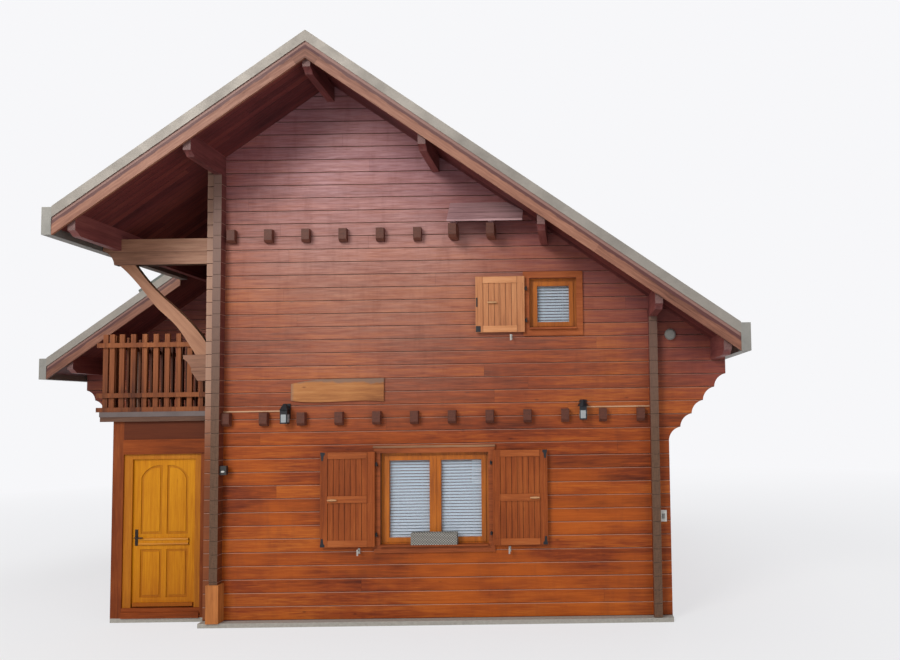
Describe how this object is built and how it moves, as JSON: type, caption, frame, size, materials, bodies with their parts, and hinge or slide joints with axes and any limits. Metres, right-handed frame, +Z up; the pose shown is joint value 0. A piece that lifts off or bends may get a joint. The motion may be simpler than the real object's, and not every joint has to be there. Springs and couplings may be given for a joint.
{
  "type": "alpine chalet",
  "caption": "Alpine chalet of stacked planks with crossing corners, a broad metal roof, a lower wing, a corner balcony over an entrance bay and hinged window shutters.",
  "frame": {"origin": "at ground level in the middle of the main block", "axes": "+X to the right seen from the front gable, +Y towards the rear gable, +Z up"},
  "size_m": [11.51, 10.612, 7.9094],
  "materials": {
    "plank_wood": "stained larch, satin",
    "orange_wood": "stained satin",
    "door_wood": "varnished satin",
    "floor_wood": "matt",
    "roof_metal": "warm grey, matt",
    "dark_metal": "black, satin",
    "window_glass": "clear",
    "concrete": "rough cast",
    "white_plastic": "matt",
    "grey_rattan": "woven, matt"
  },
  "bodies": {
    "house": {"balcony_deck": "plank_wood", "balcony_door": "orange_wood", "balcony_railing_front": "orange_wood", "balcony_railing_side": "orange_wood", "barge_boards": "orange_wood", "bay_left_wall": "plank_wood", "bay_lintel": "orange_wood", "bay_posts": "orange_wood", "brace_bracket": "plank_wood", "bulkhead_lamp": "white_plastic", "cable_conduit": "white_plastic", "corner_base_cover": "orange_wood", "deck_drip_edge": "roof_metal", "door_frame": "orange_wood", "door_hinge_pins": "dark_metal", "door_sill": "orange_wood", "eave_beam": "plank_wood", "eave_brace": "plank_wood", "eave_corbels": "plank_wood", "eave_gutters": "roof_metal", "floor_joists": "plank_wood", "foundation_slab": "concrete", "front_canopy": "orange_wood", "front_gable": "plank_wood", "front_wall": "plank_wood", "left_wall_front": "plank_wood", "left_wall_over": "plank_wood", "left_wall_rear": "plank_wood", "name_board": "plank_wood", "planter_trough": "grey_rattan", "porch_sensor": "white_plastic", "purlins": "plank_wood", "rain_pipe": "roof_metal", "rear_gable": "plank_wood", "rear_wall": "plank_wood", "right_wall": "plank_wood", "roof_covering": "roof_metal", "roof_deck_left": "orange_wood", "roof_deck_right": "orange_wood", "roof_deck_wing": "orange_wood", "roof_flashings": "roof_metal", "shutter_pins": "dark_metal", "switch_box": "white_plastic", "upper_floors": "floor_wood", "wall_lanterns": "dark_metal", "window_casings": "orange_wood", "window_frames": "orange_wood", "window_glass": "window_glass", "wing_front_wall": "plank_wood", "wing_left_wall": "plank_wood"},
    "entry_door": {"door_leaf": "door_wood", "door_handles": "dark_metal", "door_leaf_hinges": "dark_metal"},
    "left_shutter": {"shutter_left": "orange_wood", "shutter_left_hinges": "dark_metal"},
    "right_shutter": {"shutter_right": "orange_wood", "shutter_right_hinges": "dark_metal"},
    "upper_shutter": {"shutter_upper": "orange_wood", "shutter_upper_hinges": "dark_metal"}
  },
  "joints": [
    {"name": "entry_door_hinge", "type": "hinge", "parent": "house", "child": "entry_door", "pos_m": [-3.479, -3.891, 1.25], "axis": [0, 0, -1], "range_deg": [0, 90]},
    {"name": "left_shutter_hinge", "type": "hinge", "parent": "house", "child": "left_shutter", "pos_m": [-0.825, -4.28, 1.71], "axis": [0, 0, 1], "range_deg": [0, 180]},
    {"name": "right_shutter_hinge", "type": "hinge", "parent": "house", "child": "right_shutter", "pos_m": [0.765, -4.28, 1.71], "axis": [0, 0, -1], "range_deg": [0, 180]},
    {"name": "upper_shutter_hinge", "type": "hinge", "parent": "house", "child": "upper_shutter", "pos_m": [1.2825, -4.28, 4.405], "axis": [0, 0, 1], "range_deg": [0, 180]}
  ]
}
